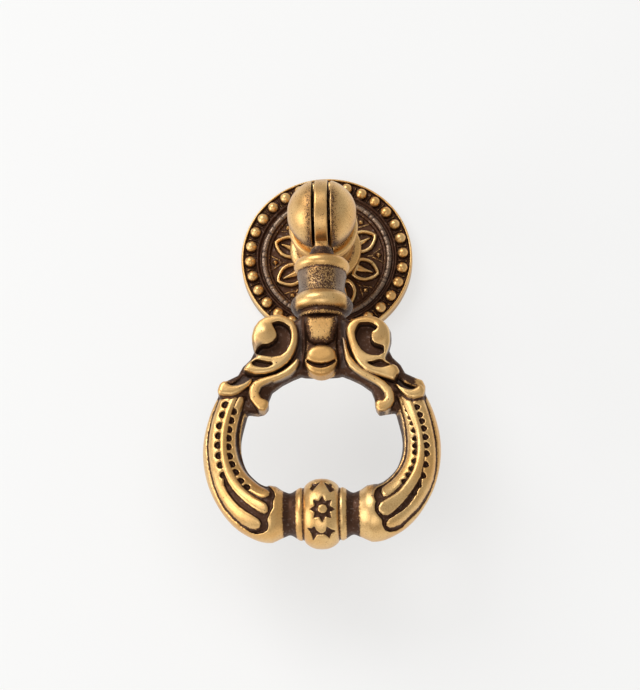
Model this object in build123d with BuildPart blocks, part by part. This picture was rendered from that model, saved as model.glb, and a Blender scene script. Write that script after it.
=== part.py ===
"""Cast drop pull for a cabinet or drawer: rosette backplate, ball post, pivot pin and scrolled drop."""
import os
from math import cos, hypot, radians, sin, sqrt

from build123d import *

os.makedirs("parts", exist_ok=True)

# Frame: +Z up, the furniture face is the plane Y = 0, the pull faces -Y.
# The origin is the centre of the backplate's back, on the axis of the post.

# Backplate, heights above the furniture face
plate_d = 38.0
lip_h = 3.5  # top of the thin outer lip
lip_w = 0.8
channel_h = 2.7  # floor of the bead channel
channel_w = 2.7
rope_h = 3.1  # top of the rope ring, which banks the channel
rope_w = 2.3
dish_h = 2.0  # floor of the petal dish
bead_count = 30
bead_d = 2.3
bead_rise = 1.35
bead_sides = 6
bead_bevel = 0.5
bead_turn = 3.4  # clockwise turn of the bead ring, degrees

# Petals and studs in the dish
petal_count = 8
petal_turn = 26.0
petal_root_r = 6.0  # under the edge of the post's foot
petal_wide_r = 9.0  # where a petal is widest
petal_tip_r = 12.4
petal_half_w = 2.45
petal_rim_w = 0.55
petal_tip_pull = 1.6  # times the rim's width, along the petal at its tip
petal_rise = 1.0
petal_floor_rise = 0.25
petal_root_share = 0.9  # width of a petal at its root, as a share of its widest
petal_shoulder_share = 0.75  # the same half way from there to the tip
rib_half_w = 0.7  # wedge rib along the middle of a petal
rib_tip_r = 11.0
rib_rise = 0.8
stud_w = 1.2
stud_r = 11.5
stud_rise = 0.9

# Post, heights above the furniture face
pin_height = 28.0  # axis of the pivot pin
ball_d = 15.0
ball_angles = (62, 33, 0)  # degrees above the middle of the ball, where its bands meet
slot_w = 4.2
slot_floor_gap = 0.5  # room behind the eye
spigot_d = 6.0
spigot_clearance = 0.1
foot_d = 12.4
flange_d = 15.6  # thin round flange above the foot
flange_low_h = 6.6
flange_high_h = 8.8
cove_d = 12.4
lip_d = 14.9
lip_back_drop = 9.6  # this and the next three are measured back from the pin axis
lip_front_drop = 6.6
ball_back_drop = 2.3  # the ball runs back straight to here before it draws in
gap_drop = 5.2
gap_d = 11.2  # waist between the lip and the ball
screw_bore_d = 3.3  # tapping drill for M4
screw_bore_l = 12.0

# Pivot pin
pin_d = 2.5
pin_running_clearance = 0.05
pin_end_setback = 0.15

# Drop: eye and turned stem, measured down from the pin axis
tab_t = 3.0
tab_overlap = 2.0  # of the tab's neck with the eye
eye_d = 14.9
shoulder_gap = 0.35  # between the ball and the shoulder's top
shoulder_d = 5.4
collar_d = 11.8
collar_top_z = 10.2
collar_low_z = 13.9
waist_d = 10.0
bell_top_z = 18.9
bell_d = 13.1
bell_low_z = 22.4
ledge_d = 9.7
stem_length = 22.8  # pin axis to the top of the yoke

# Drop: yoke, half thicknesses and rises measured from the middle plane
ring_height = 44.4  # top of the yoke to the axis of the barrel
yoke_half_t = 2.6
block_w = 9.2
block_half_t = 3.2
block_h = 14.6
cushion_top_w = 6.0
cushion_low_w = 4.9
cushion_rise = 4.7
cushion_top = 1.3  # below the top of the yoke, as the next ones
cushion_h = 6.6
pad_w = 6.1
pad_top = 9.0
pad_h = 3.9
pad_corner_r = 1.0
pad_rise = 4.5
lobe_d = 6.4
lobe_drop = 12.8
lobe_rise = 4.0
volute_d = 5.8
volute_x = 11.7
volute_drop = 5.2
volute_rise = 4.5
strip_w = 1.8
strip_end_w = 1.1
strip_rise = 4.2
strip_drop = 2.6
leaf_rise = 4.0
waist_drop = 8.2  # narrowest place of the yoke's outline under the volute
leaf_drop = 14.4
arch_drop = 15.2  # top of the opening beside the block
arm_drop = 18.6
hook_drop = 22.3

# Drop: arms and barrel
ring_half_w = 20.75  # centre of the stem to the centre of an arm at its widest
arm_widths = (7.3, 7.7, 8.1, 8.3, 8.6, 9.3, 10.4, 11.6, 12.2, 8.8)  # at even steps from leaf to neck
arm_sides = 8
cuff_end_x = 8.0
neck_d = 8.8
barrel_d = 14.66
neck_l = 5.0
barrel_belt_l = 3.6
barrel_l = 7.1
barrel_end_d = 11.2

# Derived places
plate_r = plate_d / 2
channel_r = plate_r - lip_w
bead_circle_r = channel_r - channel_w / 2
bank_r = channel_r - channel_w
dish_r = bank_r - rope_w
bore_r = spigot_d / 2 + spigot_clearance
ball_r = ball_d / 2
eye_r = eye_d / 2
yoke_z = -stem_length
barrel_z = yoke_z - ring_height
waist_x = volute_x + 2.6
leaf_x = ring_half_w - 3.05
shoulder_x = ring_half_w + 1.15  # outer corner where the yoke meets the arm
hook_x = ring_half_w - 8.15
pivot = (0, -pin_height, 0)
front = Plane.XZ.offset(pin_height)  # middle plane of the drop, local x to the right and y up


def up_from_face(points):
    """Points given as radius and height above the furniture face, in a profile turned about Y."""
    return [(r, -h) for r, h in points]


def petal_half(inset, side):
    """One side of a pointed leaf along X, drawn in from the full petal by the inset."""
    Polyline(
        (petal_root_r, 0),
        (petal_root_r, side * (petal_half_w - inset) * petal_root_share),
        (petal_wide_r, side * (petal_half_w - inset)),
        ((petal_wide_r + petal_tip_r) / 2, side * (petal_half_w - inset) * petal_shoulder_share),
        (petal_tip_r - petal_tip_pull * inset, 0),
    )


def band(points, width, end_width):
    """Outline of a flat strip that follows the points and narrows to its end width at the last one."""
    left, right = [], []
    last = len(points) - 1
    for i, (x, z) in enumerate(points):
        (ax, az), (bx, bz) = points[max(i - 1, 0)], points[min(i + 1, last)]
        half = (end_width if i == last else width) / 2 / hypot(bx - ax, bz - az)
        left.append((x - (bz - az) * half, z + (bx - ax) * half))
        right.append((x + (bz - az) * half, z - (bx - ax) * half))
    return left + right[::-1]


# Backplate: one casting, a turned form with beads, rope ring, petals and studs
with BuildPart() as backplate:
    with BuildSketch(Plane.XY):
        with BuildLine():
            Polyline(
                up_from_face(
                    [
                        (bore_r, 0),
                        (plate_r, 0),
                        (plate_r, lip_h),
                        (channel_r, lip_h),
                        (channel_r, channel_h),
                        (bank_r, channel_h),
                        (bank_r, rope_h),
                        (dish_r, rope_h),
                        (dish_r, dish_h),
                        (bore_r, dish_h),
                    ]
                ),
                close=True,
            )
        make_face()
    revolve(axis=Axis.Y)

    # Beads in the channel, each a many-sided dome
    with BuildSketch(Plane.XZ.offset(channel_h)):
        with PolarLocations(bead_circle_r, bead_count, start_angle=90 - bead_turn):
            RegularPolygon(bead_d / 2, bead_sides)
    extrude(amount=bead_rise)
    chamfer(backplate.faces().group_by(Axis.Y)[0].edges(), bead_bevel)

    # Petals: pointed leaves with a raised rim and a wedge rib, cut back round the post's foot
    for inset, low_rise in ((0, 0), (petal_rim_w, petal_floor_rise)):
        with BuildSketch(Plane.XZ.offset(dish_h + low_rise)):
            with PolarLocations(0, petal_count, start_angle=petal_turn):
                with BuildSketch(mode=Mode.PRIVATE) as leaf:
                    with BuildLine():
                        petal_half(inset, 1)
                        petal_half(inset, -1)
                    make_face()
                add(leaf.sketch)
            Circle(foot_d / 2, mode=Mode.SUBTRACT)
        extrude(amount=petal_rise, mode=Mode.SUBTRACT if inset else Mode.ADD)

    # Wedge rib in each petal and a small stud between neighbours
    with BuildSketch(Plane.XZ.offset(dish_h)):
        with PolarLocations(0, petal_count, start_angle=petal_turn):
            Polygon((petal_root_r, rib_half_w), (petal_root_r, -rib_half_w), (rib_tip_r, 0), align=None)
        Circle(foot_d / 2, mode=Mode.SUBTRACT)
    extrude(amount=rib_rise)
    with BuildSketch(Plane.XZ.offset(dish_h)):
        with PolarLocations(stud_r, petal_count, start_angle=petal_turn + 180 / petal_count):
            Rectangle(stud_w, stud_w, rotation=45)
    extrude(amount=stud_rise)

# Post: turned foot, cup and ball head, slotted for the eye, cross-drilled and tapped from the back
with BuildPart() as post:
    ball_profile = [
        (ball_r * cos(radians(a)), pin_height + ball_r * sin(radians(a))) for a in ball_angles
    ]
    with BuildSketch(Plane.XY):
        with BuildLine():
            Polyline(
                up_from_face(
                    [
                        (0, ball_profile[0][1]),
                        *ball_profile,
                        (ball_r, pin_height - ball_back_drop),
                        (gap_d / 2, pin_height - gap_drop),
                        (gap_d / 2, pin_height - lip_front_drop),
                        (lip_d / 2, pin_height - lip_front_drop),
                        (lip_d / 2, pin_height - lip_back_drop),
                        (cove_d / 2, pin_height - lip_back_drop),
                        (cove_d / 2, flange_high_h),
                        (flange_d / 2, flange_high_h),
                        (flange_d / 2, flange_low_h),
                        (foot_d / 2, flange_low_h),
                        (foot_d / 2, dish_h),
                        (spigot_d / 2, dish_h),
                        (spigot_d / 2, 0),
                        (0, 0),
                    ]
                ),
                close=True,
            )
        make_face()
    revolve(axis=Axis.Y)

    # Slot for the eye, open at the top, front and bottom
    slot_floor_h = pin_height - eye_r - slot_floor_gap
    with BuildSketch(Plane.XZ.offset(slot_floor_h)):
        Rectangle(slot_w, flange_d)
    extrude(amount=ball_d, mode=Mode.SUBTRACT)

    # Pin bore through both ears and tapped bore for the fixing screw
    with BuildSketch(Plane.YZ):
        with Locations((-pin_height, 0)):
            Circle(pin_d / 2)
    extrude(amount=ball_r, both=True, mode=Mode.SUBTRACT)
    with BuildSketch(Plane.XZ):
        Circle(screw_bore_d / 2)
    extrude(amount=screw_bore_l, mode=Mode.SUBTRACT)

# Pivot pin: straight pin, its ends just inside the ball's cheeks
with BuildPart() as pivot_pin:
    with BuildSketch(Plane.YZ):
        with Locations((-pin_height, 0)):
            Circle(pin_d / 2)
    extrude(amount=sqrt(ball_r**2 - (pin_d / 2) ** 2) - pin_end_setback, both=True)

# Drop: one casting of eye, stem, scrolled yoke, arms and barrel
with BuildPart() as drop:
    # Right half of the yoke, mirrored below with its arm
    with BuildSketch(front.offset(-yoke_half_t)):
        with BuildLine():
            Polyline((0, yoke_z - block_h), (0, yoke_z - strip_drop), (block_w / 2 + 1.4, yoke_z - strip_drop))
            ThreePointArc(
                (block_w / 2 + 1.4, yoke_z - strip_drop),
                (volute_x + 0.9, yoke_z - strip_drop),
                (waist_x, yoke_z - waist_drop),
            )
            Line((waist_x, yoke_z - waist_drop), (leaf_x, yoke_z - leaf_drop))
            ThreePointArc(
                (leaf_x, yoke_z - leaf_drop),
                (ring_half_w, yoke_z - leaf_drop - 0.9),
                (shoulder_x, yoke_z - arm_drop),
            )
            Polyline(
                (shoulder_x, yoke_z - arm_drop),
                (ring_half_w - 1.8, yoke_z - hook_drop),
                (hook_x, yoke_z - hook_drop),
            )
            ThreePointArc(
                (hook_x, yoke_z - hook_drop),
                (hook_x - 2.0, yoke_z - arm_drop + 1.0),
                (block_w / 2 + 0.6, yoke_z - arch_drop),
            )
            Line((block_w / 2 + 0.6, yoke_z - arch_drop), (0, yoke_z - block_h))
        make_face()
    extrude(amount=2 * yoke_half_t)

    # Volute with the strip that winds off its top and runs out to a leaf tip
    with BuildSketch(front):
        with Locations((volute_x, yoke_z - volute_drop)):
            Circle(volute_d / 2)
    extrude(amount=volute_rise)
    upper_strip = [
        (volute_x + 0.8, yoke_z - strip_drop - 0.7),
        (volute_x - 1.0, yoke_z - strip_drop),
        (volute_x - 2.8, yoke_z - strip_drop - 0.1),
        (volute_x - 4.5, yoke_z - strip_drop - 1.4),
        (volute_x - 5.6, yoke_z - strip_drop - 3.6),
        (volute_x - 5.7, yoke_z - strip_drop - 6.3),
        (volute_x - 4.9, yoke_z - strip_drop - 8.7),
        (volute_x - 3.2, yoke_z - leaf_drop + 1.9),
        (volute_x - 0.9, yoke_z - leaf_drop + 1.0),
        (leaf_x - 2.1, yoke_z - leaf_drop),
        (leaf_x - 0.6, yoke_z - leaf_drop - 0.1),
    ]
    with BuildSketch(front):
        Polygon(*band(upper_strip, strip_w, strip_end_w), align=None)
    extrude(amount=strip_rise)

    # Lower strip: leaves the block, runs under the volute and hooks back into the opening
    lower_strip = [
        (block_w / 2, yoke_z - leaf_drop + 2.8),
        (hook_x - 6.5, yoke_z - leaf_drop + 0.6),
        (hook_x - 5.0, yoke_z - leaf_drop - 0.9),
        (hook_x - 2.9, yoke_z - leaf_drop - 1.7),
        (hook_x - 0.6, yoke_z - leaf_drop - 2.4),
        (hook_x + 0.8, yoke_z - arm_drop + 0.6),
        (hook_x + 0.9, yoke_z - arm_drop - 1.4),
        (hook_x - 0.2, yoke_z - hook_drop + 0.5),
    ]
    with BuildSketch(front):
        Polygon(*band(lower_strip, strip_w, strip_end_w), align=None)
    extrude(amount=strip_rise)

    # Leaf lobe over the root of the arm
    leaf_root = (leaf_x - 3.5, yoke_z - leaf_drop - 1.6)
    leaf_end = (shoulder_x - 0.1, yoke_z - arm_drop + 0.4)
    with BuildSketch(front):
        with BuildLine():
            ThreePointArc(leaf_root, (leaf_x + 0.9, yoke_z - leaf_drop - 1.3), leaf_end)
            ThreePointArc(leaf_root, (leaf_x - 0.3, yoke_z - arm_drop - 0.6), leaf_end)
        make_face()
    extrude(amount=leaf_rise)

    # Arm: bar along a curve that swells from the leaf down to the cuff and draws in to the neck
    arm_path = Spline(
        *[
            front.from_local_coords((x, z, 0))
            for x, z in (
                (ring_half_w - 3.2, yoke_z - arm_drop),
                (ring_half_w - 1.0, yoke_z - arm_drop - 4.9),
                (ring_half_w, barrel_z + 15.6),
                (ring_half_w - 0.3, barrel_z + 10.6),
                (ring_half_w - 2.3, barrel_z + 5.7),
                (ring_half_w - 6.4, barrel_z + 1.4),
                (cuff_end_x, barrel_z),
            )
        ],
        mode=Mode.PRIVATE,
    )
    sections = []
    for step, width in enumerate(arm_widths):
        share = step / (len(arm_widths) - 1)
        across = Plane(origin=arm_path @ share, x_dir=front.z_dir, z_dir=arm_path % share)
        with BuildSketch(across, mode=Mode.PRIVATE) as section:
            RegularPolygon(width / 2, arm_sides, rotation=180 / arm_sides)
        sections.append(section.sketch)
    loft(sections=sections, ruled=True)
    mirror(about=Plane.YZ)

    # Middle block with a tapering cushion, a lower pad and the lobe into the opening
    with BuildSketch(front.offset(-block_half_t)):
        with Locations((0, yoke_z - block_h / 2)):
            Rectangle(block_w, block_h)
    extrude(amount=2 * block_half_t)
    cushion_low_z = yoke_z - cushion_top - cushion_h
    with BuildSketch(front):
        with BuildLine():
            Polyline(
                (-cushion_top_w / 2, yoke_z - cushion_top),
                (cushion_top_w / 2, yoke_z - cushion_top),
                (cushion_low_w / 2, cushion_low_z),
                (-cushion_low_w / 2, cushion_low_z),
                close=True,
            )
        make_face()
    extrude(amount=cushion_rise)
    with BuildSketch(front):
        with Locations((0, yoke_z - pad_top - pad_h / 2)):
            RectangleRounded(pad_w, pad_h, pad_corner_r)
    extrude(amount=pad_rise)
    with BuildSketch(front.offset(-yoke_half_t)):
        with Locations((0, yoke_z - lobe_drop)):
            Circle(lobe_d / 2)
    extrude(amount=lobe_rise + yoke_half_t)

    # Turned stem
    with BuildSketch(front):
        with BuildLine():
            Polyline(
                (0, -ball_r - shoulder_gap),
                (shoulder_d / 2, -ball_r - shoulder_gap),
                (shoulder_d / 2, -collar_top_z),
                (collar_d / 2, -collar_top_z),
                (collar_d / 2, -collar_low_z),
                (waist_d / 2, -collar_low_z),
                (waist_d / 2, -bell_top_z),
                (bell_d / 2, -bell_top_z),
                (bell_d / 2, -bell_low_z),
                (ledge_d / 2, -bell_low_z),
                (ledge_d / 2, yoke_z),
                (0, yoke_z),
                close=True,
            )
        make_face()
    revolve(axis=Axis(pivot, (0, 0, 1)))

    # Barrel with its two necks, turned about the X direction
    with BuildSketch(front):
        with BuildLine():
            half_profile = [
                (barrel_belt_l / 2, barrel_d / 2),
                (barrel_l / 2, barrel_end_d / 2),
                (barrel_l / 2, neck_d / 2),
                (barrel_l / 2 + neck_l, neck_d / 2),
            ]
            Polyline(
                *[(-x, barrel_z + r) for x, r in reversed(half_profile)],
                *[(x, barrel_z + r) for x, r in half_profile],
                (half_profile[-1][0], barrel_z),
                (-half_profile[-1][0], barrel_z),
                close=True,
            )
        make_face()
    revolve(axis=Axis((0, -pin_height, barrel_z), (1, 0, 0)))

    # Eye: flat tab with a round end, bored for the pin
    with BuildSketch(Plane.YZ.offset(-tab_t / 2)):
        with Locations((-pin_height, 0)):
            Circle(eye_r)
        with Locations((-pin_height, -(ball_r + collar_top_z) / 2)):
            Rectangle(shoulder_d, collar_top_z - ball_r + tab_overlap)
        with Locations((-pin_height, 0)):
            Circle(pin_d / 2 + pin_running_clearance, mode=Mode.SUBTRACT)
    extrude(amount=tab_t)

for name, piece in (("backplate", backplate), ("post", post), ("pivot_pin", pivot_pin), ("drop", drop)):
    piece.part.label = name

export_step(backplate.part, "parts/backplate.step")
export_step(post.part, "parts/post.step")
export_step(pivot_pin.part, "parts/pivot_pin.step")
export_step(drop.part, "parts/drop.step")
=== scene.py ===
import math

import bpy
import numpy as np
import openvdb as vdb
from mathutils import Matrix, Vector


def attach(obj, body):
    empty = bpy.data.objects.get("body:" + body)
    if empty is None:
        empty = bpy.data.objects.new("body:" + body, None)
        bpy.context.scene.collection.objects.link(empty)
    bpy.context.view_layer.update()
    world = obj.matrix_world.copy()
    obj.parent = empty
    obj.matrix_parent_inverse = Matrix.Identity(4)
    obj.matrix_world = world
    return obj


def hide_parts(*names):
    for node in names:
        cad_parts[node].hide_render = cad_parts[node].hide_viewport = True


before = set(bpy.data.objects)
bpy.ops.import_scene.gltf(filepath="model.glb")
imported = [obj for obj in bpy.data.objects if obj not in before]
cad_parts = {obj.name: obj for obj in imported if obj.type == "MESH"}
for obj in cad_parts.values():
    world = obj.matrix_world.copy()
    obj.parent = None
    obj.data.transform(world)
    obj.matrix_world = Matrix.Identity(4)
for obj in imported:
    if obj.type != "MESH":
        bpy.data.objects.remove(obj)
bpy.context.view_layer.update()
print("stage: frame loaded")

# All sizes are in millimetres in the row frame: the furniture face is y = 0, the pull faces -y.
# The materials, the wall, the lamps and the camera are in metres.
pinHeight = 28.0
metre = 0.001

# a distance beyond every outline, a guard for points that coincide, the distance given to empty space
farOff = 1e9
tiny = 1e-12
openSpace = 3.0


# Lines and outlines in the plane of the drop or of the plate

def curve(rows, steps=7):
    # smooth line through the rows, with their further columns carried along
    rows = np.array(rows, float)
    ends = np.vstack([2 * rows[0] - rows[1], rows, 2 * rows[-1] - rows[-2]])
    made = []
    for a, b, c, d in zip(ends[:-3], ends[1:-2], ends[2:-1], ends[3:]):
        for k in range(steps):
            t = k / steps
            made.append(0.5 * (2 * b + (c - a) * t + (2 * a - 5 * b + 4 * c - d) * t * t
                               + (3 * b - a - 3 * c + d) * t ** 3))
    made.append(rows[-1])
    return np.array(made)


def along(x, z, line):
    # distance to the line, and the line's further columns at the nearest place
    shape = np.broadcast(x, z).shape
    best = np.full(shape, farOff)
    others = [np.zeros(shape) for _ in range(line.shape[1] - 2)]
    for a, b in zip(line[:-1], line[1:]):
        ex, ez = b[0] - a[0], b[1] - a[1]
        share = np.clip(((x - a[0]) * ex + (z - a[1]) * ez) / (ex * ex + ez * ez + tiny), 0, 1)
        gap = (x - a[0] - share * ex) ** 2 + (z - a[1] - share * ez) ** 2
        nearer = gap < best
        best = np.where(nearer, gap, best)
        others = [np.where(nearer, a[k] + share * (b[k] - a[k]), o) for k, o in enumerate(others, 2)]
    return np.sqrt(best), others


def region(x, z, outline):
    # signed distance to a closed outline, negative inside
    shape = np.broadcast(x, z).shape
    best = np.full(shape, farOff)
    inside = np.zeros(shape, bool)
    points = [tuple(p) for p in outline]
    for (ax, az), (bx, bz) in zip(points, points[1:] + points[:1]):
        ex, ez = bx - ax, bz - az
        share = np.clip(((x - ax) * ex + (z - az) * ez) / (ex * ex + ez * ez + tiny), 0, 1)
        best = np.minimum(best, (x - ax - share * ex) ** 2 + (z - az - share * ez) ** 2)
        if bz != az:
            inside ^= ((az > z) != (bz > z)) & (x < ex * (z - az) / ez + ax)
    return np.where(inside, -np.sqrt(best), np.sqrt(best))


def mirrored(half):
    return half + [(-x, z) for x, z in reversed(half) if x > 0]


def oval(z, halfWidth, halfHeight):
    turns = [math.radians(15 * k) for k in range(24)]
    return [(halfWidth * math.cos(t), z + halfHeight * math.sin(t)) for t in turns]


def smoothMin(a, b, soft):
    if soft <= 0:
        return np.minimum(a, b)
    h = np.clip(0.5 + 0.5 * (b - a) / soft, 0, 1)
    return b + (a - b) * h - soft * h * (1 - h)


def smoothStep(low, high, v):
    t = np.clip((v - low) / (high - low), 0, 1)
    return t * t * (3 - 2 * t)


def band(v, start, full, last, end):
    # rises from start to full, falls from last to end
    return smoothStep(start, full, v) * smoothStep(end, last, v)


def rounded(a, b, bevel):
    # distance to what two shapes have in common, its edge rounded by the bevel
    a, b = a + bevel, b + bevel
    return np.minimum(np.maximum(a, b), 0) + np.hypot(np.maximum(a, 0), np.maximum(b, 0)) - bevel


def boxBlur(field, cells, passes=2):
    for axis in range(field.ndim):
        for _ in range(passes):
            pad = [(0, 0)] * field.ndim
            pad[axis] = (cells + 1, cells)
            total = np.cumsum(np.pad(field, pad, mode="edge"), axis=axis, dtype=np.float32)
            n = field.shape[axis]
            upper = [slice(None)] * field.ndim
            lower = [slice(None)] * field.ndim
            upper[axis] = slice(2 * cells + 1, 2 * cells + 1 + n)
            lower[axis] = slice(0, n)
            field = (total[tuple(upper)] - total[tuple(lower)]) / np.float32(2 * cells + 1)
    return field


class Clay:
    # A block of space holding the distance to the surface, joined and carved like clay

    def __init__(self, low, high, step):
        self.low, self.step = low, step
        self.size = [int(math.ceil((b - a) / step)) + 1 for a, b in zip(low, high)]
        self.field = np.full(self.size, openSpace, np.float32)

    def window(self, low, high):
        picks, axes = [], []
        for a, b, start, size in zip(low, high, self.low, self.size):
            first = max(0, int((a - start) / self.step))
            last = min(size, int((b - start) / self.step) + 2)
            picks.append(slice(first, last))
            axes.append(start + self.step * np.arange(first, last, dtype=np.float32))
        return tuple(picks), axes[0][:, None, None], axes[1][None, :, None], axes[2][None, None, :]

    def join(self, picks, value, soft=0.0):
        self.field[picks] = smoothMin(self.field[picks], value.astype(np.float32), soft)

    def carve(self, picks, value, soft=0.0):
        self.field[picks] = -smoothMin(-self.field[picks], value.astype(np.float32), soft)

    def sample(self, field, points):
        # the field's values at the points, mixed from the eight nearest cells
        lastCell = 1.001
        place = [np.clip((points[:, i] - self.low[i]) / self.step, 0, self.size[i] - lastCell)
                 for i in range(3)]
        cell = [p.astype(int) for p in place]
        share = [p - c for p, c in zip(place, cell)]
        value = 0
        for i in (0, 1):
            for j in (0, 1):
                for k in (0, 1):
                    weight = 1
                    for s, on in zip(share, (i, j, k)):
                        weight = weight * (s if on else 1 - s)
                    value = value + weight * field[cell[0] + i, cell[1] + j, cell[2] + k]
        return value


# Pieces of relief on the drop, by depth in front of its middle plane

# cuts reach this far in front of that plane
cutDepth = 8.4


def flatWindow(clay, xs, zs, topDepth, base, margin=0.0):
    low = (min(xs) - margin, -pinHeight - topDepth, min(zs) - margin)
    high = (max(xs) + margin, -pinHeight - base, max(zs) + margin)
    picks, x, y, z = clay.window(low, high)
    return picks, x[:, 0, :], -pinHeight - y, z[0, :, :]


def gouge(clay, rows, soft=0.15, deep=1.0, side=1, margin=0.8):
    # round-bottomed cut: rows of x, z, half width, depth of the cut's centre
    line = curve(rows)
    line[:, 0] *= side
    picks, x, depth, z = flatWindow(clay, line[:, 0], line[:, 1], cutDepth, 0.5, line[:, 2].max() + margin)
    gap, (half, level) = along(x, z, line)
    gap, half, level = gap[:, None, :], half[:, None, :], level[:, None, :]
    value = np.hypot(gap, np.maximum(level - depth, 0) / deep) - half
    clay.carve(picks, value, soft)


def pocket(clay, outline, floor, soft=0.2, slant=0.15, side=1, margin=1.5):
    # flat-bottomed cut down to the floor, with walls that lean outwards by the slant
    points = [(x * side, z) for x, z in outline]
    xs, zs = zip(*points)
    picks, x, depth, z = flatWindow(clay, xs, zs, cutDepth, floor - 0.8, margin)
    gap = region(x, z, points)[:, None, :]
    clay.carve(picks, np.maximum(gap - slant * (depth - floor), floor - depth), soft)


def pad(clay, outline, top, base, bevel, soft=0.3, side=1, tilt=0.0, grow=0.0, margin=1.2):
    # block with rounded edges, drawn in by the tilt towards its top and grown all round
    points = [(x * side, z) for x, z in outline]
    xs, zs = zip(*points)
    picks, x, depth, z = flatWindow(clay, xs, zs, top + margin, base - margin, margin)
    gap = region(x, z, points)[:, None, :] - grow + tilt * (depth - top)
    lift = np.abs(depth - (top + base) / 2) - (top - base) / 2
    clay.join(picks, rounded(gap, lift, bevel), soft)


def turned(profile, radius, height):
    # distance to a turned profile of (radius, height) rows, looked up in a fine table of it
    cell, soften = 0.05, 2
    above, beyond, pastAxis = 2.5, 3.5, -3.0
    rs, hs = zip(*profile)
    low = min(hs) - above
    r = np.arange(0, max(rs) + beyond, cell)[:, None]
    h = np.arange(low, max(hs) + above, cell)[None, :]
    section = [(rr if rr > 0 else pastAxis, hh) for rr, hh in profile]
    table = boxBlur(region(r, h, section).astype(np.float32), soften)
    i = np.clip(radius / cell, 0, table.shape[0] - 1.001)
    j = np.clip((height - low) / cell, 0, table.shape[1] - 1.001)
    i, j = np.broadcast_arrays(i, j)
    a, b = i.astype(np.int32), j.astype(np.int32)
    s, t = i - a, j - b
    return (table[a, b] * (1 - s) * (1 - t) + table[a + 1, b] * s * (1 - t)
            + table[a, b + 1] * (1 - s) * t + table[a + 1, b + 1] * s * t)


def meshOf(clay, name, limit):
    grid = vdb.FloatGrid()
    grid.copyFromArray(np.ascontiguousarray(clay.field))
    points, tris, quads = grid.convertToPolygons(isovalue=0.0, adaptivity=0.0)
    points = (np.array(clay.low) + points * clay.step) * metre
    corners = points[quads]
    volume = np.einsum("ij,ij->i", corners[:, 0], np.cross(corners[:, 1], corners[:, 2])).sum()
    if volume < 0:
        quads, tris = quads[:, ::-1], tris[:, ::-1]
    mesh = bpy.data.meshes.new(name)
    mesh.from_pydata(points.tolist(), [], quads.tolist() + tris.tolist())
    obj = bpy.data.objects.new(name, mesh)
    bpy.context.scene.collection.objects.link(obj)
    faces = 2 * len(quads) + len(tris)
    if faces > limit:
        thin = obj.modifiers.new("thin", "DECIMATE")
        thin.ratio = limit / faces
        thin.use_collapse_triangulate = True
        shown = obj.evaluated_get(bpy.context.evaluated_depsgraph_get())
        thinned = bpy.data.meshes.new_from_object(shown)
        obj.modifiers.clear()
        obj.data = thinned
    obj.data.name = name
    obj.data.polygons.foreach_set("use_smooth", np.ones(len(obj.data.polygons), bool))
    print("stage:", name, "cut from", faces, "to", len(obj.data.polygons), "faces")
    return obj


# the two sizes of hollow that the antiquing looks for
hollowReach = (0.35, 1.1)


def surfaceOf(obj, clay):
    # places and outward directions of the vertices, and how hollow the surface is there at the two sizes
    count = len(obj.data.vertices)
    places, directions = np.zeros(count * 3, np.float32), np.zeros(count * 3, np.float32)
    obj.data.vertices.foreach_get("co", places)
    obj.data.vertices.foreach_get("normal", directions)
    places, directions = places.reshape(-1, 3) * 1000, directions.reshape(-1, 3)
    filled = np.clip(0.5 - clay.field / clay.step, 0, 1)
    hollow = []
    for reach in hollowReach:
        blurred = boxBlur(filled, max(1, round(reach / clay.step)))
        hollow.append(clay.sample(blurred, places) - 0.5)
    return places, directions, *hollow


def wornTone(fine, broad, wear):
    # how bright the wear leaves the brass: dark in nooks and sheltered places, bright on what stands proud
    tone = wear["tone"] - wear["nook"] * np.clip(fine, 0, 1)
    tone = tone - wear["shelter"] * np.clip(broad - wear["shelterFrom"], 0, 1)
    tone = tone + wear["proud"] * np.clip(-fine - wear["proudFrom"], 0, 0.5)
    return tone + wear["swell"] * np.clip(-broad, 0, 0.5)


def paint(obj, **layers):
    for name, values in layers.items():
        layer = obj.data.attributes.new(name, "FLOAT", "POINT")
        layer.data.foreach_set("value", np.ascontiguousarray(values, dtype=np.float32))


# Backplate: a relief by height over the furniture face, then its rounded side wall

plateLook = {
    "radius": 19.0, "lip": 3.15, "channel": 2.35, "bank": 3.15, "valley": 2.35, "rope": 3.1, "dish": 1.85,
    "bore": 3.1, "edge": 0.35,
    "beads": 30, "beadCircle": 16.95, "beadRadius": 1.32, "beadFoot": 2.55, "beadTop": 4.2, "beadTurn": 3.4,
    "ribHeight": 0.55, "ribWidth": 0.16, "nicks": 54, "nickStep": 6.667, "nickWidth": 0.13,
    "petals": 8, "petalTurn": 26.0, "leafRise": 0.05, "rimHeight": 1.05, "rimIn": 0.40, "rimHalf": 0.50,
    "wedgeHeight": 0.95, "studRadius": 11.5, "studHalf": 0.95, "studHeight": 1.15,
    "veinHeight": 0.28, "spokeHeight": 0.22,
}
plateWear = {"tone": 0.30, "nook": 2.2, "shelter": 1.0, "shelterFrom": 0.0,
             "proud": 1.6, "proudFrom": 0.0, "swell": 0.9}
leafHalf = [(6.5, -3), (6.5, 2.1), (7.6, 2.6), (8.8, 2.75), (9.9, 2.55), (11.0, 1.85), (11.9, 0.95),
            (12.4, 0.0), (12.4, -3)]


def spokeAxes(x, z, turn, offset):
    # distance out along the nearest of the petals' axes, or of the axes between them, and away from it
    step = 360 / plateLook["petals"]
    k = np.round((turn - plateLook["petalTurn"] - offset * step) / step)
    a = np.radians((k + offset) * step + plateLook["petalTurn"])
    return x * np.cos(a) + z * np.sin(a), np.abs(-x * np.sin(a) + z * np.cos(a))


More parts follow.
